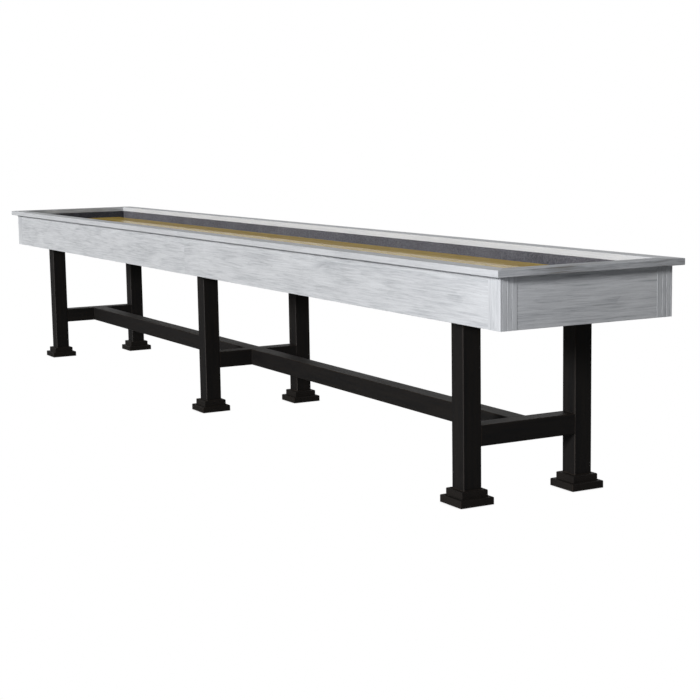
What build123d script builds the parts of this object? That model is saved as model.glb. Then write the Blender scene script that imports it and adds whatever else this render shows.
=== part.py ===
from build123d import *
import os

os.makedirs("parts", exist_ok=True)

# Driving dimensions, in millimetres.
# Origin: centre of the footprint, on the floor. +X runs along the table, +Z is up.
overall_height = 800.0
cabinet_length = 4860.0
cabinet_width = 662.0
cabinet_bottom = 612.0

rail_thickness = 22.0
rail_width = 66.0
rail_overhang = 28.0
rail_edge_radius = 2.0

post_length = 66.0
post_width = 60.0
post_proud = 0.8
flute_first = 7.0
flute_pitch = 17.0
flute_depth = 1.3
flute_count = 3

liner_thickness = 7.0
carpet_thickness = 5.0
ply_thickness = 18.0
member_thickness = 27.0
member_width = 110.0

playfield_drop = 50.0
playfield_thickness = 45.0
side_gutter = 70.0
end_gutter = 100.0
gutter_board_width = 96.0
joint_gap = 0.5
runner_width = 40.0

leg_size = 70.0
leg_x = 2076.0
leg_y = 224.0
plinth_lower_size = 128.0
plinth_lower_height = 25.0
plinth_upper_size = 99.0
plinth_upper_height = 24.0
bar_bottom = 191.0
bar_ease = 2.0
board_ease = 0.7

plate_size = 110.0
plate_thickness = 5.0
plate_hole_reach = 44.0
screw_radius = 2.5
screw_head_radius = 4.5
screw_head_height = 3.0
hanger_radius = 4.0
hanger_in_leg = 45.0
fixing_clearance = 0.05

stem_radius = 5.0
stem_top = 95.0
stem_room = 30.0
insert_radius = 8.0
insert_length = 25.0
pad_radius = 20.0
pad_height = 6.0
pad_floor_gap = 1.0
hex_across_flats = 17.0
hex_height = 5.0
recess_radius = 23.0
recess_depth = 13.0
running_clearance = 0.05

adjuster_pitch = 1040.0
adjuster_drop = 30.0
bracket_length = 60.0
bracket_flange = 30.0
bracket_steel = 5.0
bracket_web_y = 110.0
bracket_web_height = 50.0
rod_radius = 5.0
rod_gap = 10.0
sleeve_across_flats = 22.0
sleeve_length = 70.0
bracket_screw_reach = 22.0
bracket_screw_depth = 25.0

# Sizes that follow from them.
half_length = cabinet_length / 2
half_width = cabinet_width / 2
rail_bottom = overall_height - rail_thickness
rail_outer_x = half_length + rail_overhang
rail_outer_y = half_width + rail_overhang
well_x = rail_outer_x - rail_width
well_y = rail_outer_y - rail_width
board_x = well_x + carpet_thickness
board_y = well_y + carpet_thickness
apron_inner_x = board_x + liner_thickness
apron_inner_y = board_y + liner_thickness
apron_outer_x = half_length - post_proud
apron_outer_y = half_width - post_proud
member_top = cabinet_bottom + 2.0 + member_thickness
gutter_top = member_top + ply_thickness
playfield_top = overall_height - playfield_drop
playfield_bottom = playfield_top - playfield_thickness
playfield_x = well_x - end_gutter
playfield_y = well_y - side_gutter
gutter_inner_x = playfield_x - 15.0
gutter_inner_y = board_y - gutter_board_width
runner_outer_y = gutter_inner_y - 5.0
plinth_height = plinth_lower_height + plinth_upper_height
plate_bottom = member_top - member_thickness - plate_thickness
bar_top = bar_bottom + leg_size
member_places = [-2330.0, -leg_x, -adjuster_pitch, 0.0, adjuster_pitch, leg_x, 2330.0]
adjuster_places = [adjuster_pitch * step for step in (-1.5, -0.5, 0.5, 1.5)]
leg_places = [(x, y) for x in (-leg_x, 0.0, leg_x) for y in (-leg_y, leg_y)]
plate_corners = (2 * plate_hole_reach, 2 * plate_hole_reach, 2, 2)
adjuster_z = playfield_bottom - adjuster_drop

END_NAMES = {-1: "left", 1: "right"}
SIDE_NAMES = {-1: "front", 1: "back"}
LEG_NAMES = {-leg_x: "left", 0.0: "middle", leg_x: "right"}


def write(piece, node):
    """Label a finished piece and write its STEP file."""
    piece.part.label = node
    export_step(piece.part, f"parts/{node}.step")


def span(a, b):
    """Order two coordinates and give their low end, high end and middle."""
    return min(a, b), max(a, b), (a + b) / 2


def block(along_x, along_y, along_z, ease, run=None):
    """A rectangular board between the two ends given on each axis.

    All its edges are eased, or only those that follow its run.
    """
    low_x, high_x, mid_x = span(*along_x)
    low_y, high_y, mid_y = span(*along_y)
    low_z, high_z, _ = span(*along_z)
    with BuildPart() as board:
        with BuildSketch(Plane.XY.offset(low_z)):
            with Locations((mid_x, mid_y)):
                Rectangle(high_x - low_x, high_y - low_y)
        extrude(amount=high_z - low_z)
        chamfer(board.edges().filter_by(run) if run else board.edges(), ease)
    return board


def rail(corners, run):
    """A flat top board with its long edges rounded over."""
    with BuildPart() as board:
        with BuildSketch(Plane.XY.offset(rail_bottom)):
            Polygon(*corners, align=None)
        extrude(amount=rail_thickness)
        fillet(board.edges().filter_by(run), rail_edge_radius)
    return board


# Cabinet: top rails, mitred at the corners and butted at mid-length
for side, side_name in SIDE_NAMES.items():
    for end, end_name in END_NAMES.items():
        half_rail = rail(
            [
                (0, side * well_y),
                (end * well_x, side * well_y),
                (end * rail_outer_x, side * rail_outer_y),
                (0, side * rail_outer_y),
            ],
            Axis.X,
        )
        write(half_rail, f"top_rail_{side_name}_{end_name}")

for end, end_name in END_NAMES.items():
    end_rail = rail(
        [
            (end * well_x, -well_y),
            (end * rail_outer_x, -rail_outer_y),
            (end * rail_outer_x, rail_outer_y),
            (end * well_x, well_y),
        ],
        Axis.Y,
    )
    write(end_rail, f"top_rail_{end_name}")

# Cabinet: side aprons in two halves, end aprons in one
apron_z = (cabinet_bottom, rail_bottom)
for side, side_name in SIDE_NAMES.items():
    for end, end_name in END_NAMES.items():
        apron = block(
            (0, end * (half_length - post_length)),
            (side * apron_inner_y, side * apron_outer_y),
            apron_z,
            board_ease,
        )
        write(apron, f"apron_{side_name}_{end_name}")

for end, end_name in END_NAMES.items():
    end_apron = block(
        (end * apron_inner_x, end * apron_outer_x),
        (-(half_width - post_width), half_width - post_width),
        apron_z,
        board_ease,
    )
    write(end_apron, f"apron_{end_name}")


def fluted_post(end, side):
    """An L-shaped corner post, grooved down both outer faces."""
    groove = flute_depth * 2**0.5
    grooves = [flute_first + flute_pitch * step for step in range(flute_count)]
    with BuildPart() as post:
        with BuildSketch(Plane.XY.offset(cabinet_bottom)):
            Polygon(
                (end * half_length, side * half_width),
                (end * (half_length - post_length), side * half_width),
                (end * (half_length - post_length), side * apron_inner_y),
                (end * apron_inner_x, side * apron_inner_y),
                (end * apron_inner_x, side * (half_width - post_width)),
                (end * half_length, side * (half_width - post_width)),
                align=None,
            )
            for step in grooves:
                with Locations((end * (half_length - step), side * half_width)):
                    Rectangle(groove, groove, rotation=45, mode=Mode.SUBTRACT)
                with Locations((end * half_length, side * (half_width - step))):
                    Rectangle(groove, groove, rotation=45, mode=Mode.SUBTRACT)
        extrude(amount=rail_bottom - cabinet_bottom)
    return post


for side, side_name in SIDE_NAMES.items():
    for end, end_name in END_NAMES.items():
        write(fluted_post(end, side), f"corner_post_{side_name}_{end_name}")

# Cabinet: hidden liner boards behind the carpet, the long pair past the short pair
with BuildPart() as wall_liners:
    with BuildSketch(Plane.XY.offset(member_top)):
        with GridLocations(0, 2 * board_y + liner_thickness, 1, 2):
            Rectangle(2 * apron_inner_x, liner_thickness)
        with GridLocations(2 * board_x + liner_thickness, 0, 2, 1):
            Rectangle(liner_thickness, 2 * (board_y - joint_gap))
    extrude(amount=rail_bottom - member_top)
write(wall_liners, "wall_liners")

# Cabinet: plywood shelf round the playfield, the floor of the gutters
with BuildPart() as gutter_boards:
    with BuildSketch(Plane.XY.offset(member_top)):
        with GridLocations(0, board_y + gutter_inner_y, 1, 2):
            Rectangle(2 * board_x, gutter_board_width)
        with GridLocations(board_x + gutter_inner_x, 0, 2, 1):
            Rectangle(board_x - gutter_inner_x, 2 * (gutter_inner_y - joint_gap))
    extrude(amount=ply_thickness)
write(gutter_boards, "gutter_boards")


def gutter_carpet(along_x, along_y, wall_x, wall_y):
    """Carpet laid over a gutter board and up the wall behind it, in one piece."""
    with BuildPart() as carpet:
        with BuildSketch(Plane.XY.offset(gutter_top)):
            with Locations((span(*along_x)[2], span(*along_y)[2])):
                Rectangle(abs(along_x[1] - along_x[0]), abs(along_y[1] - along_y[0]))
        extrude(amount=carpet_thickness)
        with BuildSketch(Plane.XY.offset(gutter_top)):
            with Locations((span(*wall_x)[2], span(*wall_y)[2])):
                Rectangle(abs(wall_x[1] - wall_x[0]), abs(wall_y[1] - wall_y[0]))
        extrude(amount=rail_bottom - gutter_top)
    return carpet


for side, side_name in SIDE_NAMES.items():
    side_carpet = gutter_carpet(
        (-well_x, well_x),
        (side * gutter_inner_y, side * board_y),
        (-board_x, board_x),
        (side * well_y, side * board_y),
    )
    write(side_carpet, f"carpet_{side_name}")

for end, end_name in END_NAMES.items():
    end_carpet = gutter_carpet(
        (end * gutter_inner_x, end * board_x),
        (-gutter_inner_y, gutter_inner_y),
        (end * well_x, end * board_x),
        (-well_y, well_y),
    )
    write(end_carpet, f"carpet_{end_name}")

# Cabinet: cross members, drilled over the legs
with BuildPart() as cross_members:
    with BuildSketch(Plane.XY.offset(member_top)):
        with Locations(*[(x, 0) for x in member_places]):
            Rectangle(member_width, 2 * apron_inner_y)
    extrude(amount=-member_thickness)
    with BuildSketch(Plane.XY.offset(member_top - member_thickness)):
        with Locations(*leg_places):
            Circle(hanger_radius + fixing_clearance)
            with GridLocations(*plate_corners):
                Circle(screw_radius + fixing_clearance)
    extrude(amount=member_thickness - 3.0, mode=Mode.SUBTRACT)
write(cross_members, "cross_members")

# Playfield on its two runners
with BuildPart() as playfield:
    with BuildSketch(Plane.XY.offset(playfield_bottom)):
        Rectangle(2 * playfield_x, 2 * playfield_y)
    extrude(amount=playfield_thickness)
    fillet(playfield.faces().sort_by(Axis.Z)[-1].edges(), 1.5)
    with BuildSketch(Plane.XY.offset(playfield_bottom)):
        with GridLocations(adjuster_pitch, 2 * bracket_web_y + bracket_flange, 4, 2):
            with GridLocations(2 * bracket_screw_reach, 0, 2, 1):
                Circle(screw_radius + fixing_clearance)
    extrude(amount=bracket_screw_depth, mode=Mode.SUBTRACT)
write(playfield, "playfield")

with BuildPart() as playfield_runners:
    with BuildSketch(Plane.XY.offset(member_top)):
        with GridLocations(0, 2 * runner_outer_y - runner_width, 1, 2):
            Rectangle(2 * gutter_inner_x, runner_width)
    extrude(amount=playfield_bottom - member_top)
write(playfield_runners, "playfield_runners")

# Adjusters under the playfield: angle brackets, rods and a turning sleeve
with BuildPart() as adjuster_brackets:
    with BuildSketch(Plane.XY.offset(playfield_bottom)):
        with GridLocations(adjuster_pitch, 2 * bracket_web_y + bracket_flange, 4, 2):
            Rectangle(bracket_length, bracket_flange)
            with GridLocations(2 * bracket_screw_reach, 0, 2, 1):
                Circle(screw_radius + fixing_clearance, mode=Mode.SUBTRACT)
    extrude(amount=-bracket_steel)
    with BuildSketch(Plane.XY.offset(playfield_bottom)):
        with GridLocations(adjuster_pitch, 2 * bracket_web_y + bracket_steel, 4, 2):
            Rectangle(bracket_length, bracket_steel)
    extrude(amount=-bracket_web_height)
    with BuildSketch(Plane.XZ.offset(-playfield_y)):
        with Locations(*[(x, adjuster_z) for x in adjuster_places]):
            Circle(rod_radius + fixing_clearance)
    extrude(amount=2 * playfield_y, mode=Mode.SUBTRACT)
write(adjuster_brackets, "adjuster_brackets")

with BuildPart() as bracket_screws:
    with BuildSketch(Plane.XY.offset(playfield_bottom - bracket_steel)):
        with GridLocations(adjuster_pitch, 2 * bracket_web_y + bracket_flange, 4, 2):
            with GridLocations(2 * bracket_screw_reach, 0, 2, 1):
                Circle(screw_radius)
    extrude(amount=bracket_steel + bracket_screw_depth - 1.0)
    with BuildSketch(Plane.XY.offset(playfield_bottom - bracket_steel)):
        with GridLocations(adjuster_pitch, 2 * bracket_web_y + bracket_flange, 4, 2):
            with GridLocations(2 * bracket_screw_reach, 0, 2, 1):
                Circle(screw_head_radius)
    extrude(amount=-screw_head_height)
write(bracket_screws, "bracket_screws")

head_y = bracket_web_y + bracket_steel
with BuildPart() as adjuster_rods:
    for side in (-1, 1):
        with BuildSketch(Plane.XZ.offset(-side * rod_gap)):
            with Locations(*[(x, adjuster_z) for x in adjuster_places]):
                Circle(rod_radius)
        extrude(amount=-side * (head_y - rod_gap))
        with BuildSketch(Plane.XZ.offset(-side * head_y)):
            with Locations(*[(x, adjuster_z) for x in adjuster_places]):
                RegularPolygon(hex_across_flats / 2, 6, major_radius=False)
        extrude(amount=-side * hex_height)
write(adjuster_rods, "adjuster_rods")

for number, place in enumerate(adjuster_places, start=1):
    with BuildPart() as sleeve:
        with BuildSketch(Plane.XZ.offset(-sleeve_length / 2)):
            with Locations((place, adjuster_z)):
                RegularPolygon(sleeve_across_flats / 2, 6, major_radius=False)
                Circle(rod_radius + running_clearance, mode=Mode.SUBTRACT)
        extrude(amount=sleeve_length)
    write(sleeve, f"adjuster_sleeve_{number}")

# Legs with their stepped plinths, plates, fixings and levelling feet
for x, y in leg_places:
    name = f"{SIDE_NAMES[1 if y > 0 else -1]}_{LEG_NAMES[x]}"

    with BuildPart() as leg:
        with BuildSketch(Plane.XY.offset(plinth_height)):
            with Locations((x, y)):
                Rectangle(leg_size, leg_size)
        extrude(amount=plate_bottom - plinth_height)
        chamfer(leg.edges().filter_by(Axis.Z), bar_ease)
        with BuildSketch(Plane.XY.offset(plinth_height)):
            with Locations((x, y)):
                Circle(insert_radius)
        extrude(amount=insert_length, mode=Mode.SUBTRACT)
        with BuildSketch(Plane.XY.offset(plinth_height)):
            with Locations((x, y)):
                Circle(stem_radius + 0.5)
        extrude(amount=stem_top + 5.0 - plinth_height, mode=Mode.SUBTRACT)
        with BuildSketch(Plane.XY.offset(plate_bottom)):
            with Locations((x, y)):
                Circle(hanger_radius + fixing_clearance)
        extrude(amount=-hanger_in_leg - 1.0, mode=Mode.SUBTRACT)
    write(leg, f"leg_{name}")

    with BuildPart() as plinth:
        with BuildSketch(Plane.XY):
            with Locations((x, y)):
                Rectangle(plinth_lower_size, plinth_lower_size)
        extrude(amount=plinth_lower_height)
        chamfer(plinth.faces().sort_by(Axis.Z)[-1].edges(), bar_ease)
        with BuildSketch(Plane.XY.offset(plinth_lower_height)):
            with Locations((x, y)):
                Rectangle(plinth_upper_size, plinth_upper_size)
        extrude(amount=plinth_upper_height)
        chamfer(plinth.faces().sort_by(Axis.Z)[-1].edges(), bar_ease)
        with BuildSketch(Plane.XY):
            with Locations((x, y)):
                Circle(recess_radius)
        extrude(amount=recess_depth, mode=Mode.SUBTRACT)
        with BuildSketch(Plane.XY):
            with Locations((x, y)):
                Circle(stem_radius + 0.5)
        extrude(amount=plinth_height, mode=Mode.SUBTRACT)
    write(plinth, f"plinth_{name}")

    with BuildPart() as leveller:
        with BuildSketch(Plane.XY.offset(pad_floor_gap)):
            with Locations((x, y)):
                Circle(pad_radius)
        extrude(amount=pad_height)
        chamfer(leveller.edges(), 1.0)
        with BuildSketch(Plane.XY.offset(pad_floor_gap + pad_height)):
            with Locations((x, y)):
                RegularPolygon(hex_across_flats / 2, 6, major_radius=False)
        extrude(amount=hex_height)
        with BuildSketch(Plane.XY.offset(pad_floor_gap + pad_height + hex_height)):
            with Locations((x, y)):
                Circle(stem_radius)
        extrude(amount=stem_top - pad_floor_gap - pad_height - hex_height)
    write(leveller, f"leveller_{name}")

with BuildPart() as leveller_inserts:
    with BuildSketch(Plane.XY.offset(plinth_height)):
        with Locations(*leg_places):
            Circle(insert_radius)
        with Locations(*leg_places):
            Circle(stem_radius + running_clearance, mode=Mode.SUBTRACT)
    extrude(amount=insert_length)
write(leveller_inserts, "leveller_inserts")

with BuildPart() as leg_plates:
    with BuildSketch(Plane.XY.offset(plate_bottom)):
        with Locations(*leg_places):
            Rectangle(plate_size, plate_size)
        with Locations(*leg_places):
            Circle(hanger_radius + fixing_clearance, mode=Mode.SUBTRACT)
            with GridLocations(*plate_corners):
                Circle(screw_radius + fixing_clearance, mode=Mode.SUBTRACT)
    extrude(amount=plate_thickness)
write(leg_plates, "leg_plates")

plate_screw_length = plate_thickness + member_thickness - 4.0
with BuildPart() as leg_fixings:
    with BuildSketch(Plane.XY.offset(plate_bottom)):
        with Locations(*leg_places):
            with GridLocations(*plate_corners):
                Circle(screw_radius)
    extrude(amount=plate_screw_length)
    with BuildSketch(Plane.XY.offset(plate_bottom)):
        with Locations(*leg_places):
            with GridLocations(*plate_corners):
                Circle(screw_head_radius)
    extrude(amount=-screw_head_height)
    with BuildSketch(Plane.XY.offset(plate_bottom - hanger_in_leg)):
        with Locations(*leg_places):
            Circle(hanger_radius)
    extrude(amount=hanger_in_leg + plate_screw_length)
write(leg_fixings, "leg_fixings")

# Under-frame: a crossbar at each pair of legs, and two stretchers between them
for x, name in LEG_NAMES.items():
    crossbar = block(
        (x - leg_size / 2, x + leg_size / 2),
        (-(leg_y - leg_size / 2), leg_y - leg_size / 2),
        (bar_bottom, bar_top),
        bar_ease,
        Axis.Y,
    )
    write(crossbar, f"crossbar_{name}")

for end, end_name in END_NAMES.items():
    stretcher = block(
        (end * leg_size / 2, end * (leg_x - leg_size / 2)),
        (-leg_size / 2, leg_size / 2),
        (bar_bottom, bar_top),
        bar_ease,
        Axis.X,
    )
    write(stretcher, f"stretcher_{end_name}")
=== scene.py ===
import math
from functools import partial

import bmesh
import bpy
from mathutils import Euler, Matrix, Vector
from mathutils import noise as mathsNoise


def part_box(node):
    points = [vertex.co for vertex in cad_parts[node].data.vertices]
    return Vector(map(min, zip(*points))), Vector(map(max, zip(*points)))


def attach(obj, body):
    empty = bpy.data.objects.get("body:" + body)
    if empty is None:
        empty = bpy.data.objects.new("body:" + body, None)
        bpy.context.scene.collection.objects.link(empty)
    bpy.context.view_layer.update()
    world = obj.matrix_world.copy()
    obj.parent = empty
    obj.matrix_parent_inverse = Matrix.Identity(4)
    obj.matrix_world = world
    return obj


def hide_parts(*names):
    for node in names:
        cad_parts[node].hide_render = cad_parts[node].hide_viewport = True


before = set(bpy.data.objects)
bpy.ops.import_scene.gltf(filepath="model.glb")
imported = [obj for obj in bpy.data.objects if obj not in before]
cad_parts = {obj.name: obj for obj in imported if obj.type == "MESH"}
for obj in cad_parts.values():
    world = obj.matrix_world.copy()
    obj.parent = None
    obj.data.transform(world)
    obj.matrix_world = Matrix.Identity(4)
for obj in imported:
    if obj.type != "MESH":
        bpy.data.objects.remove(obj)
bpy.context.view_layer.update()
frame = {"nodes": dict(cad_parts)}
nodes = frame["nodes"]
mm = 0.001
print("frame loaded,", len(nodes), "nodes")


def hexColour(code):  # sRGB hex to the linear colour that a shader wants
    parts = [int(code[i : i + 2], 16) / 255 for i in (1, 3, 5)]
    linear = [c / 12.92 if c <= 0.04045 else ((c + 0.055) / 1.055) ** 2.4 for c in parts]
    return (*linear, 1.0)


# One node with its settings and links. What goes into it is a list in the order of its sockets, or
# a dictionary by name or number. A socket that takes many links is given a list of them. What
# comes back is the output socket asked for.
def addNode(tree, kind, into=(), give=0, stops=(), **settings):
    node = tree.nodes.new(kind if "Node" in kind else "ShaderNode" + kind)
    for name, value in settings.items():
        setattr(node, name, value)
    for socket, value in into.items() if isinstance(into, dict) else enumerate(into):
        for each in value if isinstance(value, list) else [value]:
            if isinstance(each, bpy.types.NodeSocket):
                tree.links.new(each, node.inputs[socket])
            else:
                node.inputs[socket].default_value = each
    for index, (place, colour) in enumerate(stops):  # a new ramp has two marks already
        marks = node.color_ramp.elements
        mark = marks[index] if index < len(marks) else marks.new(place)
        mark.position = place
        mark.color = hexColour(colour)
    return node.outputs[give] if len(node.outputs) else node


# for Map Range, whose inputs are the value, from low, from high, to low and to high
smooth = {"interpolation_type": "SMOOTHSTEP"}
rgba = {"give": 2, "data_type": "RGBA"}  # for Mix: 0 is the share, 6 and 7 are the colours


def newMaterial(name):
    material = bpy.data.materials.new(name)
    material.use_nodes = True
    material.node_tree.nodes.clear()
    return material, partial(addNode, material.node_tree)


def seenAs(add, others, camera):  # the camera sees one thing, and the light meets another
    return add("MixShader", [add("LightPath", give="Is Camera Ray"), others, camera])


view = {
    "place": (6.2482, -2.9440, 1.2103),
    "turn": 61.234,  # degrees left of straight along +Y
    "dip": 7.982,  # degrees below level
    "roll": -0.915,
    "lens": 79.516,
    "sensor": 36.0,
    "farthest": 100.0,
}
lens = bpy.data.cameras.new("camera")
lens.lens = view["lens"]
lens.sensor_width = view["sensor"]
lens.clip_end = view["farthest"]
camera = bpy.data.objects.new("camera", lens)
bpy.context.scene.collection.objects.link(camera)
aim = Euler((math.radians(90 - view["dip"]), 0, math.radians(view["turn"])), "XYZ").to_matrix()
tilt = Matrix.Rotation(math.radians(view["roll"]), 3, "Z")
camera.matrix_world = Matrix.Translation(view["place"]) @ (aim @ tilt).to_4x4()
bpy.context.scene.camera = camera
bpy.context.scene.view_settings.view_transform = "Standard"

light = {
    "keyFrom": (0.315, -0.905, 0.305),
    "keyStrength": 2.80,
    "keySoftness": 12.0,  # degrees
    "backdropFrom": (-0.80, 0.55, 0.25),  # the lit backdrop behind the table
    "backdropStrength": 0.60,
    "backdropEdge": (0.25, 0.85),  # cosines where it starts and where it is full
    "ceilingStrength": 0.03,
    "ceilingEdge": (0.35, 0.95),
    "nearPower": 2.8,
    "nearSize": 0.7,
    "nearPlace": (3.0, -1.2, 1.0),
    "nearAim": (2.4, -0.33, 0.7),
    "nearColour": "#F2F6FF",
    "roomStrength": 0.018,  # the dark side of the room, behind the camera
}
key = bpy.data.lights.new("keyLight", "SUN")
key.energy = light["keyStrength"]
key.angle = math.radians(light["keySoftness"])
keyLamp = bpy.data.objects.new("keyLight", key)
keyLamp.rotation_euler = Vector(light["keyFrom"]).to_track_quat("Z", "Y").to_euler()
bpy.context.scene.collection.objects.link(keyLamp)

near = bpy.data.lights.new("nearLight", "AREA")  # a soft lamp that lifts the near corner
near.energy = light["nearPower"]
near.size = light["nearSize"]
near.color = hexColour(light["nearColour"])[:3]
nearLamp = bpy.data.objects.new("nearLight", near)
nearLamp.location = light["nearPlace"]
nearLamp.visible_glossy = False  # no bright square on the board
toCorner = Vector(light["nearAim"]) - Vector(light["nearPlace"])
nearLamp.rotation_euler = toCorner.to_track_quat("-Z", "Y").to_euler()
bpy.context.scene.collection.objects.link(nearLamp)

world = bpy.data.worlds.new("studio")
world.use_nodes = True
world.node_tree.nodes.clear()
bpy.context.scene.world = world
add = partial(addNode, world.node_tree)
white = (1.0, 1.0, 1.0, 1.0)
towards = add("TexCoord", give="Generated")
backdropAt = Vector(light["backdropFrom"]).normalized()
facing = add("VectorMath", [towards, backdropAt], give="Value", operation="DOT_PRODUCT")
upwards = add("SeparateXYZ", [towards], give="Z")
levels = (light["roomStrength"], light["backdropStrength"])
backdrop = add("MapRange", [facing, *light["backdropEdge"], *levels], **smooth)
ceiling = add("MapRange", [upwards, *light["ceilingEdge"], 0.0, light["ceilingStrength"]], **smooth)
strength = add("Math", [backdrop, ceiling], operation="ADD")
onObject = add("Background", {"Color": white, "Strength": strength})
onCamera = add("Background", {"Color": white, "Strength": 1.0})
add("OutputWorld", {"Surface": seenAs(add, onObject, onCamera)})

floorLook = {
    "size": 60.0,
    "bounce": "#8C8C8C",  # the grey that lights the table from below
    "shadeReach": 0.09,  # m, the contact shade round the plinths
    "shade": [(0.15, "#C8C8CA"), (0.75, "#FFFFFF")],
}
bpy.ops.mesh.primitive_plane_add(size=floorLook["size"])
floor = bpy.context.object
floor.name = "floor"
floorMaterial, add = newMaterial("pale seamless floor")
matt = {"Roughness": 0.9, "Specular IOR Level": 0.1}
bounce = add("BsdfPrincipled", {"Base Color": hexColour(floorLook["bounce"]), **matt})
# painted contact shade: the camera sees the floor as a glow, darkened where ambient occlusion finds
# the table close by
openness = add("AmbientOcclusion", {"Distance": floorLook["shadeReach"]}, give="AO", samples=8)
shade = add("ValToRGB", [openness], stops=floorLook["shade"])
add("OutputMaterial", {"Surface": seenAs(add, bounce, add("Emission", {"Color": shade}))})
floor.data.materials.append(floorMaterial)
print("camera, lights and floor")

# Brushed oak under a thin grey-white wash and a matt varnish: the wash pools in the soft grain,
# so the board reads pale with darker streaks, flecks and pores where the wood shows through.
wash = {
    "bare": "#8F8C88",
    "stops": [(0.42, "#E3E5E8"), (0.56, "#D5D7DA"), (0.72, "#B4B7BB"), (0.86, "#8F8C88")],
    "balance": 0.555,  # the level that contrast turns about
    "cloudShare": 0.30,
    "streakShare": 0.52,
    "fibreShare": 0.26,
    "ringShare": 0.045,
    "checkShare": 0.62,
    "poreShare": 0.30,
    "wander": 7.0,  # mm that the grain strays from straight
    "streakWidth": 5.5,
    "fibreWidth": 1.5,  # mm, several real fibres wide so that it shows
    "poreWidth": 0.7,
    "ringSpacing": 13.0,
    "bowWidth": 75.0,
}
turnFor = {"X": (0, 0, 0), "Y": (0, 0, math.pi / 2), "Z": (0, math.pi / 2, 0)}


def grainSpace(add, run, shift):  # coordinates whose X follows the grain
    place = add("TexCoord", give="Object")
    turned = add("Mapping", {"Vector": place, "Rotation": turnFor[run]})
    return add("Mapping", {"Vector": turned, "Location": shift})


def drawnOut(add, space, along, across, detail=2.0, roughness=0.5, give="Fac"):
    size = (1 / (along * mm), 1 / (across * mm), 1 / (across * mm))  # grains of along by across mm
    fitted = add("Mapping", {"Vector": space, "Scale": size})
    noise = {"Vector": fitted, "Scale": 1.0, "Detail": detail, "Roughness": roughness}
    return add("TexNoise", noise, give=give)


def strayed(add, space, along, across, amount):  # the same space with its grain wandering sideways
    drift = drawnOut(add, space, along, across, give="Color")
    centred = add("VectorMath", [drift, (-0.5, -0.5, -0.5)], operation="ADD")
    push = (0.0, 2 * amount * mm, 2 * amount * mm)
    return add("VectorMath", [centred, push, space], operation="MULTIPLY_ADD")


def whitewashedOak(name, run, shift, tone=0.0, contrast=1.0):
    material, add = newMaterial(name)
    space = strayed(add, grainSpace(add, run, shift), 320, 70, wash["wander"])
    clouds = drawnOut(add, space, 240, 70, 3.0, 0.55)
    streaks = drawnOut(add, space, 150, wash["streakWidth"], 4.0, 0.62)
    fibres = drawnOut(add, space, 60, wash["fibreWidth"], 3.0, 0.6)
    # growth rings of a flat-sawn board, drawn out into long flames
    bow = drawnOut(add, space, 700, wash["bowWidth"], 1.0)
    rings = add("Math", [bow, wash["bowWidth"] / wash["ringSpacing"]], operation="MULTIPLY")
    rings = add("Math", [rings], operation="FRACT")
    lateWood = add("MapRange", [rings, 0.45, 0.95], **smooth)
    earlyWood = add("MapRange", [rings, 0.97, 1.0, 1.0, 0.0], **smooth)
    rings = add("Math", [lateWood, earlyWood], operation="MULTIPLY")
    figure = 0.0
    shares = (wash["cloudShare"], wash["streakShare"], wash["fibreShare"], wash["ringShare"])
    for pattern, share in zip((clouds, streaks, fibres, rings), shares):
        figure = add("Math", [pattern, share, figure], operation="MULTIPLY_ADD")
    figure = add("Math", [figure, wash["balance"]], operation="SUBTRACT")
    figure = add("Math", [figure, contrast, wash["balance"] + tone], operation="MULTIPLY_ADD")
    colour = add("ValToRGB", [figure], stops=wash["stops"])
    # short dark checks where the brush has opened the grain, and the pores between them
    checks = add("MapRange", [drawnOut(add, space, 42, 2.2), 0.68, 0.80], **smooth)
    patches = add("MapRange", [drawnOut(add, space, 150, 45, 1.0), 0.48, 0.66], **smooth)
    checks = add("Math", [checks, patches], operation="MULTIPLY")
    checks = add("Math", [checks, wash["checkShare"]], operation="MULTIPLY")
    pores = drawnOut(add, space, 11, wash["poreWidth"], 1.0)
    pores = add("MapRange", [pores, 0.63, 0.74], **smooth)
    pores = add("Math", [pores, wash["poreShare"]], operation="MULTIPLY")
    bare = add("Math", [checks, pores], operation="MAXIMUM")
    colour = add("Mix", {0: bare, 6: colour, 7: hexColour(wash["bare"])}, **rgba)
    raised = add("Math", [fibres, 0.6], operation="MULTIPLY")
    height = add("Math", [raised, bare], operation="SUBTRACT")
    look = {
        "Base Color": colour,
        "Roughness": add("MapRange", [fibres, 0.3, 0.7, 0.58, 0.72], **smooth),
        "Specular IOR Level": 0.25,
        "Normal": add("Bump", {"Strength": 0.5, "Distance": 0.35 * mm, "Height": height}),
    }
    add("OutputMaterial", {"Surface": add("BsdfPrincipled", look)})
    return material


# Black satin lacquer rubbed over stained oak: nearly black, with a little brown in the open grain
# and along the arrises, and a dull sheen that is broken up by the grain.
black = {
    "stops": [(0.38, "#121213"), (0.66, "#1E1A17")],
    "rubbed": "#3A3029",
    "rubbedShare": 0.55,
    "fibreWidth": 2.2,
    "edge": 3.0,  # mm over which the rubbing fades
    "ragged": 5.0,
    "edgeStart": 2.4,
}


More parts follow.
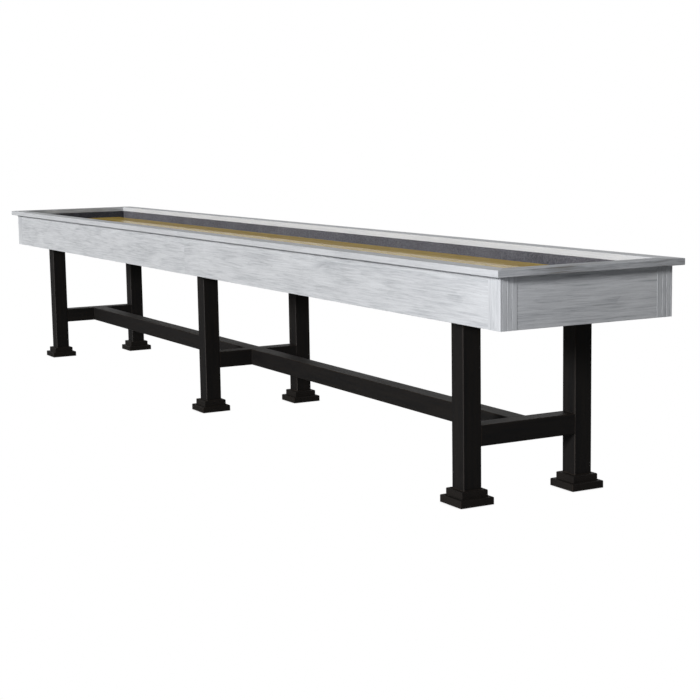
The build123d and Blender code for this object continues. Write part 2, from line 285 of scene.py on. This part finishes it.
def blackLacquer(name, run, shift, box, lighterBy=0.0):
    material, add = newMaterial(name)
    space = strayed(add, grainSpace(add, run, shift), 300, 60, 4)
    fibres = drawnOut(add, space, 110, black["fibreWidth"], 3.0, 0.62)
    broad = drawnOut(add, space, 260, 16, 3.0, 0.55)
    grain = add("Math", [broad, 0.5, lighterBy], operation="MULTIPLY_ADD")
    grain = add("Math", [fibres, 0.5, grain], operation="MULTIPLY_ADD")
    colour = add("ValToRGB", [grain], stops=black["stops"])
    # a point on a face is near an arris when the second smallest of its three depths is small
    axes = add("SeparateXYZ", [add("TexCoord", give="Object")]).node.outputs
    depths = []
    for axis, low, high in zip(axes, *box):
        off = add("Math", [axis, (high + low) / 2], operation="SUBTRACT")
        off = add("Math", [off], operation="ABSOLUTE")
        depths.append(add("Math", [(high - low) / 2, off], operation="SUBTRACT"))
    lesser = add("Math", depths[:2], operation="MINIMUM")
    greater = add("Math", depths[:2], operation="MAXIMUM")
    second = add("Math", [greater, depths[2]], operation="MINIMUM")
    second = add("Math", [lesser, second], operation="MAXIMUM")
    inset = add("Math", [second, black["edgeStart"] * mm], operation="SUBTRACT")
    inset = add("Math", [broad, black["ragged"] * mm, inset], operation="MULTIPLY_ADD")
    rub = add("MapRange", [inset, 0.0, black["edge"] * mm, black["rubbedShare"], 0.0], **smooth)
    look = {
        "Base Color": add("Mix", {0: rub, 6: colour, 7: hexColour(black["rubbed"])}, **rgba),
        "Roughness": add("MapRange", [grain, 0.3, 0.7, 0.46, 0.62], **smooth),
        "Specular IOR Level": 0.32,
        "Normal": add("Bump", {"Strength": 0.45, "Distance": 0.25 * mm, "Height": fibres}),
    }
    add("OutputMaterial", {"Surface": add("BsdfPrincipled", look)})
    return material


# Maple strips glued side by side under a thick poured gloss coat, yellowed to gold by it.
maple = {
    "stripWidth": 31.0,
    "stripLength": 900.0,
    "glueLine": 0.2,
    "pale": "#E8CC72",
    "warm": "#D6B65A",
    "glue": "#8A7030",
    "tint": [(0.34, "#FFFFFF"), (0.70, "#DCCB9C")],
    "tintShare": 0.7,
}


def lacqueredMaple(name):
    material, add = newMaterial(name)
    space = grainSpace(add, "X", (0.0, maple["stripWidth"] / 2 * mm, 0.0))
    bricks = {
        "Vector": space,
        "Color1": hexColour(maple["pale"]),
        "Color2": hexColour(maple["warm"]),
        "Mortar": hexColour(maple["glue"]),
        "Scale": 1.0,
        "Mortar Size": maple["glueLine"] * mm,
        "Mortar Smooth": 0.2,
        "Bias": 0.0,
        "Brick Width": maple["stripLength"] * mm,
        "Row Height": maple["stripWidth"] * mm,
    }
    strips = add("TexBrick", bricks, offset=0.37, offset_frequency=3, squash=1.0)
    fibres = drawnOut(add, space, 90, 1.6, 3.0, 0.6)
    flame = drawnOut(add, strayed(add, space, 300, 80, 8), 300, 9, 3.0)
    curl = drawnOut(add, space, 7, 40, 1.0)  # the cross ripple that maple shows in gloss
    grain = add("Math", [flame, 0.42], operation="MULTIPLY")
    grain = add("Math", [fibres, 0.4, grain], operation="MULTIPLY_ADD")
    grain = add("Math", [curl, 0.18, grain], operation="MULTIPLY_ADD")
    tint = add("ValToRGB", [grain], stops=maple["tint"])
    colour = add("Mix", {0: maple["tintShare"], 6: strips, 7: tint}, **rgba, blend_type="MULTIPLY")
    look = {
        "Base Color": colour,
        "Roughness": 0.45,
        "Specular IOR Level": 0.0,
        "Coat Weight": 0.55,
        "Coat Roughness": 0.04,
        "Coat IOR": 1.45,
    }
    add("OutputMaterial", {"Surface": add("BsdfPrincipled", look)})
    return material


# Needle-punched polyester carpet, charcoal with paler and darker fibres mixed in: dull, soft-edged
# and heathered, its short pile catching a little light at a grazing angle.
carpet = {
    "thickness": 5.0,
    "cornerRadius": 5.0,
    "cornerSteps": 4,
    "gridStep": 8.0,
    "ripple": 0.35,
    "rippleScale": 28.0,
    "filled": 0.98,  # the share of its thickness that shows, so that it clears the boards
    "stops": [(0.38, "#3B3B40"), (0.50, "#5E5E64"), (0.62, "#7E7E85")],
    "fibre": 1.6,  # mm, several real fibres wide so that it shows
    "tuft": 5.0,
    "worn": 160.0,
}


def charcoalCarpet(name, nap=0.0):
    material, add = newMaterial(name)
    place = {"Vector": add("TexCoord", give="Object"), "Detail": 2.0}
    fine = add("TexNoise", {**place, "Scale": 1 / (carpet["fibre"] * mm), "Roughness": 0.6})
    tufts = add("TexNoise", {**place, "Scale": 1 / (carpet["tuft"] * mm), "Roughness": 0.55})
    worn = add("TexNoise", {**place, "Scale": 1 / (carpet["worn"] * mm), "Roughness": 0.5})
    heather = add("Math", [tufts, 0.36], operation="MULTIPLY")
    heather = add("Math", [fine, 0.52, heather], operation="MULTIPLY_ADD")
    heather = add("Math", [worn, 0.12, heather], operation="MULTIPLY_ADD")
    # painted shade: lowers the heather for the end carpets, standing in for their dimmer light
    heather = add("Math", [heather, nap], operation="SUBTRACT")
    pile = add("Math", [tufts, 0.4], operation="MULTIPLY")
    pile = add("Math", [fine, 0.6, pile], operation="MULTIPLY_ADD")
    look = {
        "Base Color": add("ValToRGB", [heather], stops=carpet["stops"]),
        "Roughness": 0.95,
        "Specular IOR Level": 0.1,
        "Sheen Weight": 0.12,
        "Sheen Roughness": 0.5,
        "Normal": add("Bump", {"Strength": 0.9, "Distance": 1.6 * mm, "Height": pile}),
    }
    add("OutputMaterial", {"Surface": add("BsdfPrincipled", look)})
    return material


def steps(low, high, step):
    count = max(1, round((high - low) / step))
    return [low + (high - low) * i / count for i in range(count + 1)]


def realMesh(thing):  # what its modifiers make of it
    return bpy.data.meshes.new_from_object(thing.evaluated_get(bpy.context.evaluated_depsgraph_get()))


def carpetSheet(name, node, run, material):  # one cut piece, bent from the wall to the floor
    low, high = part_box(node)
    t = carpet["thickness"] * mm
    r = carpet["cornerRadius"] * mm
    across = 1 - run  # run 0 lies along X, run 1 along Y
    side = -1 if low[across] + high[across] < 0 else 1
    wall = max(abs(low[across]), abs(high[across])) - t / 2
    inner = min(abs(low[across]), abs(high[across]))
    floorZ, topZ = low[2] + t / 2, high[2]
    step = carpet["gridStep"] * mm
    profile = [(wall, z) for z in reversed(steps(floorZ + r, topZ, step))]
    corner = carpet["cornerSteps"]
    for i in range(1, corner + 1):
        turn = math.radians(90 * i / corner)
        profile.append((wall - r + r * math.cos(turn), floorZ + r - r * math.sin(turn)))
    bend = len(profile) - 1
    profile += [(d, floorZ) for d in reversed(steps(inner, wall - r, step))][1:]
    half = high[run]
    # the floor part is cut narrower, so that it fits between its neighbours
    floorHalf = half - t if run == 0 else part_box("carpet_back")[0][1]
    if run == 0:
        places = [-half] + steps(-floorHalf, floorHalf, step) + [half]
    else:
        places = steps(-half, -floorHalf, step)[:-1] + steps(-floorHalf, floorHalf, step)
        places += steps(floorHalf, half, step)[1:]
    cloth = bmesh.new()
    grid = []
    for along in places:
        row = []
        for index, (out, z) in enumerate(profile):
            if index > bend - corner and abs(along) > floorHalf + 1e-6:
                row.append(None)
                continue
            wave = mathsNoise.noise(Vector((along, out, z)) * carpet["rippleScale"])
            lift = abs(carpet["ripple"] * mm * wave) * 0.5
            if index <= bend - corner:
                out -= lift
            elif index > bend:
                z += lift
            point = (along, side * out, z) if run == 0 else (side * out, along, z)
            row.append(cloth.verts.new(point))
        grid.append(row)
    for one, two in zip(grid, grid[1:]):
        for i in range(len(profile) - 1):
            corners = (one[i], one[i + 1], two[i + 1], two[i])
            if None not in corners:
                cloth.faces.new(corners)
    bmesh.ops.recalc_face_normals(cloth, faces=cloth.faces)
    mesh = bpy.data.meshes.new(name)
    cloth.to_mesh(mesh)
    cloth.free()
    piece = bpy.data.objects.new(name, mesh)
    bpy.context.scene.collection.objects.link(piece)
    thick = piece.modifiers.new("thickness", "SOLIDIFY")
    thick.thickness = t * carpet["filled"]
    thick.offset = 0.0
    thick.use_even_offset = True
    solid = realMesh(piece)
    piece.modifiers.clear()
    piece.data = solid
    for polygon in solid.polygons:
        polygon.use_smooth = True
    solid.materials.clear()
    solid.materials.append(material)
    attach(piece, "table")
    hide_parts(node)


def plainMetal(name, stops, roughness):  # plated, painted or turned, with a faint mottle
    material, add = newMaterial(name)
    place = {"Vector": add("TexCoord", give="Object"), "Scale": 160.0}
    spangle = add("TexNoise", {**place, "Detail": 2.0, "Roughness": 0.5})
    dulled = (roughness - 0.06, roughness + 0.08)
    look = {
        "Base Color": add("ValToRGB", [spangle], stops=stops),
        "Roughness": add("MapRange", [spangle, 0.3, 0.7, *dulled], **smooth),
        "Metallic": 1.0,
    }
    add("OutputMaterial", {"Surface": add("BsdfPrincipled", look)})
    return material


def rawTimber(name, run, pale, dark):  # sawn or planed and left bare, so dull and open-grained
    material, add = newMaterial(name)
    space = grainSpace(add, run, (0.3, 0.1, 0.2))
    fibres = drawnOut(add, space, 160, 3, 3.0, 0.6)
    broad = drawnOut(add, space, 500, 22, 3.0)
    grain = add("Math", [broad, 0.5], operation="MULTIPLY")
    grain = add("Math", [fibres, 0.5, grain], operation="MULTIPLY_ADD")
    colour = add("ValToRGB", [grain], stops=[(0.32, pale), (0.68, dark)])
    look = {"Base Color": colour, "Roughness": 0.7}
    add("OutputMaterial", {"Surface": add("BsdfPrincipled", look)})
    return material


def paintNode(name, material):
    for slot in nodes[name].material_slots:
        slot.material = material


# Every board is cut from another part of the tree. The back rails are set paler than the front rails,
# and the end rails darker: painted shade for the dim light that falls on their tops.
board = {
    "frontRail": (0.0, 0.55),  # tone, where less is paler, and contrast
    "backRail": (-0.07, 0.55),
    # painted shade: the end rails' darker tone stands in for the dim light on their tops
    "endRail": (0.12, 1.3),
    "apron": (0.015, 1.0),
    "endApron": (0.01, 1.2),
    "post": (0.0, 1.0),
    # the plinths' black is set a little lighter and browner than the legs'
    "plinthThinner": 0.12,
    "endNap": 0.09,  # painted shade: the end carpets are set darker to stand in for the grazing light on them
}
seed = 0
for side in ("front", "back"):
    for end in ("left", "right"):
        seed += 1
        cuts = (
            ("top_rail", "X", (seed * 1.3, seed * 0.17, 0.09), board[side + "Rail"]),
            ("apron", "X", (seed * 2.1, 0.11, seed * 0.23 - 0.6), board["apron"]),
            ("corner_post", "Z", (seed * 0.7, seed * 0.31, 0.2), board["post"]),
        )
        for kind, run, shift, finish in cuts:
            oak = f"whitewashed oak {kind.split('_')[-1]} {side} {end}"
            paintNode(f"{kind}_{side}_{end}", whitewashedOak(oak, run, shift, *finish))
for end in ("left", "right"):
    seed += 1
    cuts = (
        ("top_rail", (seed * 0.9, seed * 0.13, 0.07), board["endRail"]),
        ("apron", (seed * 1.7, 0.13, seed * 0.19 - 0.7), board["endApron"]),
    )
    for kind, shift, finish in cuts:
        oak = f"whitewashed oak {kind.split('_')[-1]} {end}"
        paintNode(f"{kind}_{end}", whitewashedOak(oak, "Y", shift, *finish))
grainOf = {"leg": "Z", "plinth": "X", "crossbar": "Y", "stretcher": "X"}
for index, name in enumerate(nodes):
    kind, _, where = name.partition("_")
    if kind in grainOf and where.split("_")[0] in ("front", "back", "left", "middle", "right"):
        shift = (index * 0.37, index * 0.21, 0.1)
        lighterBy = board["plinthThinner"] if kind == "plinth" else 0.0
        finish = ("black lacquered oak " + name, grainOf[kind], shift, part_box(name), lighterBy)
        paintNode(name, blackLacquer(*finish))
paintNode("playfield", lacqueredMaple("lacquered maple strips"))
feltAlong = charcoalCarpet("charcoal heather carpet, sides")
feltAcross = charcoalCarpet("charcoal heather carpet, ends", board["endNap"])
for place, run in (("front", 0), ("back", 0), ("left", 1), ("right", 1)):
    carpetSheet(f"gutterCarpet_{place}", f"carpet_{place}", run, feltAcross if run else feltAlong)
zinc = plainMetal("bright zinc plate", [(0.3, "#A9ACB0"), (0.7, "#C6C8CB")], 0.32)
blackSteel = plainMetal("black powder coat", [(0.3, "#131313"), (0.7, "#1C1C1C")], 0.55)
brass = plainMetal("turned brass", [(0.3, "#C9A55A"), (0.7, "#D8B76C")], 0.3)
for name in nodes:
    if name.startswith(("leveller_front", "leveller_back", "adjuster_sleeve", "adjuster_rods")):
        paintNode(name, zinc)
for name in ("leg_plates", "adjuster_brackets"):
    paintNode(name, blackSteel)
paintNode("leveller_inserts", brass)
paintNode("wall_liners", rawTimber("raw board", "X", "#C8AE84", "#A98B5E"))
paintNode("gutter_boards", rawTimber("birch plywood", "X", "#D9BE92", "#BF9F6D"))
for name, run in (("cross_members", "Y"), ("playfield_runners", "X")):
    paintNode(name, rawTimber("planed pine " + name, run, "#DCC08C", "#B98F55"))
print("materials and carpet")

# Screws, turned by one tree of nodes: a domed head with a cross recess below the seat, and a
# threaded shank above it. The points of a mesh say where they stand.
screw = {
    "headRadius": 4.5,
    "headHeight": 3.0,
    "headFlat": 0.58,  # the share of the radius that is left flat at the end of the head
    "headSides": 28,
    "headSegments": 6,
    "shankRadius": 2.5,
    "shankSides": 12,
    "shankSegments": 72,
    "pitch": 1.8,
    "thread": 0.4,
    "tip": 5.0,  # mm over which the shank narrows
    "tipShare": 0.3,
    "recessWidth": 1.0,
    "recessSpan": 4.8,
    "recessDepth": 1.6,
    "shallower": 0.15,  # one slot of the cross, so that their floors don't share a plane
    "sunk": 0.4,  # mm that the shank starts inside the head
    "seed": 11,
}
hanger = {"headRadius": 4.0, "headHeight": 45.0, "shankRadius": 3.7, "recessSpan": 4.4}
fixing = {
    "bracketSeat": 700.0,
    "bracketX": (-1560, -520, 520, 1560),
    "bracketY": (-125, 125),
    "bracketReach": (-22, 22),
    "bracketShank": 29.0,
    "plateSeat": 609.0,
    "legX": (-2076, 0, 2076),
    "legY": (-224, 224),
    "plateReach": (-44, 44),
    "plateShank": 28.0,
    "weld": 0.005,  # mm, closes the cracks that cutting leaves
}


def turned(add, radius, segments, low, high, sides):  # a bar whose radius follows its height
    length = add("Math", [high, low], operation="SUBTRACT")
    size = {"Vertices": sides, "Side Segments": segments, "Radius": 1.0, "Depth": length}
    bar = add("GeometryNodeMeshCylinder", size, give="Mesh")
    x, y, z = add("SeparateXYZ", [add("GeometryNodeInputPosition")]).node.outputs
    middle = add("Math", [low, high], operation="ADD")
    middle = add("Math", [middle, 0.5], operation="MULTIPLY")
    height = add("Math", [z, middle], operation="ADD")
    wide = radius(height, add("Math", [y, x], operation="ARCTAN2"))
    moved = [add("Math", [axis, wide], operation="MULTIPLY") for axis in (x, y)]
    place = add("CombineXYZ", [*moved, height])
    return add("GeometryNodeSetPosition", {"Geometry": bar, "Position": place})


def screwTree(material):
    tree = bpy.data.node_groups.new("turnedScrews", "GeometryNodeTree")
    socket = tree.interface.new_socket
    socket("Geometry", in_out="INPUT", socket_type="NodeSocketGeometry")
    sizes = ("headRadius", "headHeight", "shankRadius", "shankLength", "pitch", "thread")
    known = {}
    for name in (*sizes, "recessSpan"):
        known[name] = socket(name, in_out="INPUT", socket_type="NodeSocketFloat").identifier
    socket("Geometry", in_out="OUTPUT", socket_type="NodeSocketGeometry")
    add = partial(addNode, tree)
    given = add("NodeGroupInput").node.outputs

    def threadAt(height, angle):  # a single start thread, fading into a blunt point
        phase = add("Math", [height, given["pitch"]], operation="DIVIDE")
        share = add("Math", [angle, math.tau], operation="DIVIDE")
        phase = add("Math", [phase, share], operation="ADD")
        phase = add("Math", [phase, 10.0], operation="ADD")  # keeps it above zero
        phase = add("Math", [phase], operation="FRACT")
        ridge = add("Math", [phase, 0.5], operation="PINGPONG")
        ridge = add("Math", [ridge, 2.0], operation="MULTIPLY")
        cut = add("Math", [ridge, given["thread"]], operation="MULTIPLY")
        left = add("Math", [given["shankLength"], height], operation="SUBTRACT")
        point = add("Math", [left, screw["tip"] * mm], operation="DIVIDE")
        point = add("Math", [point, screw["tipShare"]], operation="ADD")
        point = add("Math", [point, 1.0], operation="MINIMUM")
        core = add("Math", [given["shankRadius"], cut], operation="SUBTRACT")
        return add("Math", [core, point], operation="MULTIPLY")

    def domeAt(height, angle):
        drop = add("Math", [height, given["headHeight"]], operation="DIVIDE")
        drop = add("Math", [drop, drop], operation="MULTIPLY")
        curve = add("Math", [1.001, drop], operation="SUBTRACT")
        curve = add("Math", [curve], operation="SQRT")
        flat = screw["headFlat"]
        share = add("Math", [curve, 1 - flat, flat], operation="MULTIPLY_ADD")
        return add("Math", [given["headRadius"], share], operation="MULTIPLY")

    below = add("Math", [given["headHeight"], -1.0], operation="MULTIPLY")
    sunk = -screw["sunk"] * mm
    length = given["shankLength"]
    shank = turned(add, threadAt, screw["shankSegments"], sunk, length, screw["shankSides"])
    head = turned(add, domeAt, screw["headSegments"], below, 0.0, screw["headSides"])
    slots = []
    for quarter in (0, 1):
        span = [given["recessSpan"], screw["recessWidth"] * mm]
        deep = 2 * (1 - quarter * screw["shallower"]) * screw["recessDepth"] * mm
        size = add("CombineXYZ", [span[quarter], span[1 - quarter], deep])
        slot = add("GeometryNodeMeshCube", {"Size": size}, give="Mesh")
        down = add("CombineXYZ", {2: below})
        slots.append(add("GeometryNodeTransform", {"Geometry": slot, "Translation": down}))
    body = add("GeometryNodeMeshBoolean", {"Mesh 2": [head, shank]}, operation="UNION")
    cross = add("GeometryNodeMeshBoolean", {"Mesh 2": slots}, operation="UNION")
    body = add("GeometryNodeMeshBoolean", {"Mesh 1": body, "Mesh 2": cross}, operation="DIFFERENCE")
    most = {0: (0.0, 0.0, 0.0), 1: (0.0, 0.0, math.tau), "Seed": screw["seed"]}
    turn = add("FunctionNodeRandomValue", most, data_type="FLOAT_VECTOR")
    stand = {"Points": given["Geometry"], "Instance": body, "Rotation": turn}
    real = add("GeometryNodeRealizeInstances", [add("GeometryNodeInstanceOnPoints", stand)])
    painted = add("GeometryNodeSetMaterial", {"Geometry": real, "Material": material})
    add("NodeGroupOutput", {"Geometry": painted})
    return tree, known


tree, known = screwTree(zinc)


def screwsAt(places, **sizes):  # sizes in mm; gives the mesh with its screws made real
    points = bpy.data.meshes.new("points")
    points.from_pydata([[c * mm for c in place] for place in places], [], [])
    holder = bpy.data.objects.new("holder", points)
    bpy.context.scene.collection.objects.link(holder)
    modifier = holder.modifiers.new("screws", "NODES")
    modifier.node_group = tree
    for name, identifier in known.items():
        modifier[identifier] = {**screw, **sizes}[name] * mm
    mesh = realMesh(holder)
    bpy.data.objects.remove(holder)
    return mesh


def screwPiece(name, node, *meshes):
    merged = bmesh.new()
    for mesh in meshes:
        merged.from_mesh(mesh)
    bmesh.ops.remove_doubles(merged, verts=merged.verts, dist=fixing["weld"] * mm)
    bmesh.ops.dissolve_degenerate(merged, edges=merged.edges, dist=fixing["weld"] * mm)
    bmesh.ops.recalc_face_normals(merged, faces=merged.faces)
    whole = bpy.data.meshes.new(name)
    merged.to_mesh(whole)
    merged.free()
    whole.materials.append(zinc)
    piece = bpy.data.objects.new(name, whole)
    bpy.context.scene.collection.objects.link(piece)
    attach(piece, "table")
    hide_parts(node)
    print(name, len(whole.polygons), "faces")


bracketPlaces = [
    (x + dx, y, fixing["bracketSeat"])
    for x in fixing["bracketX"]
    for y in fixing["bracketY"]
    for dx in fixing["bracketReach"]
]
bracketScrews = screwsAt(bracketPlaces, shankLength=fixing["bracketShank"])
screwPiece("bracketScrews", "bracket_screws", bracketScrews)
hangerPlaces = [(x, y, fixing["plateSeat"]) for x in fixing["legX"] for y in fixing["legY"]]
platePlaces = [
    (x + dx, y + dy, z)
    for x, y, z in hangerPlaces
    for dx in fixing["plateReach"]
    for dy in fixing["plateReach"]
]
plateScrews = screwsAt(platePlaces, shankLength=fixing["plateShank"])
hangerBolts = screwsAt(hangerPlaces, shankLength=fixing["plateShank"], **hanger)
screwPiece("legPlateScrews", "leg_fixings", plateScrews, hangerBolts)
print("screws")

bpy.context.view_layer.update()
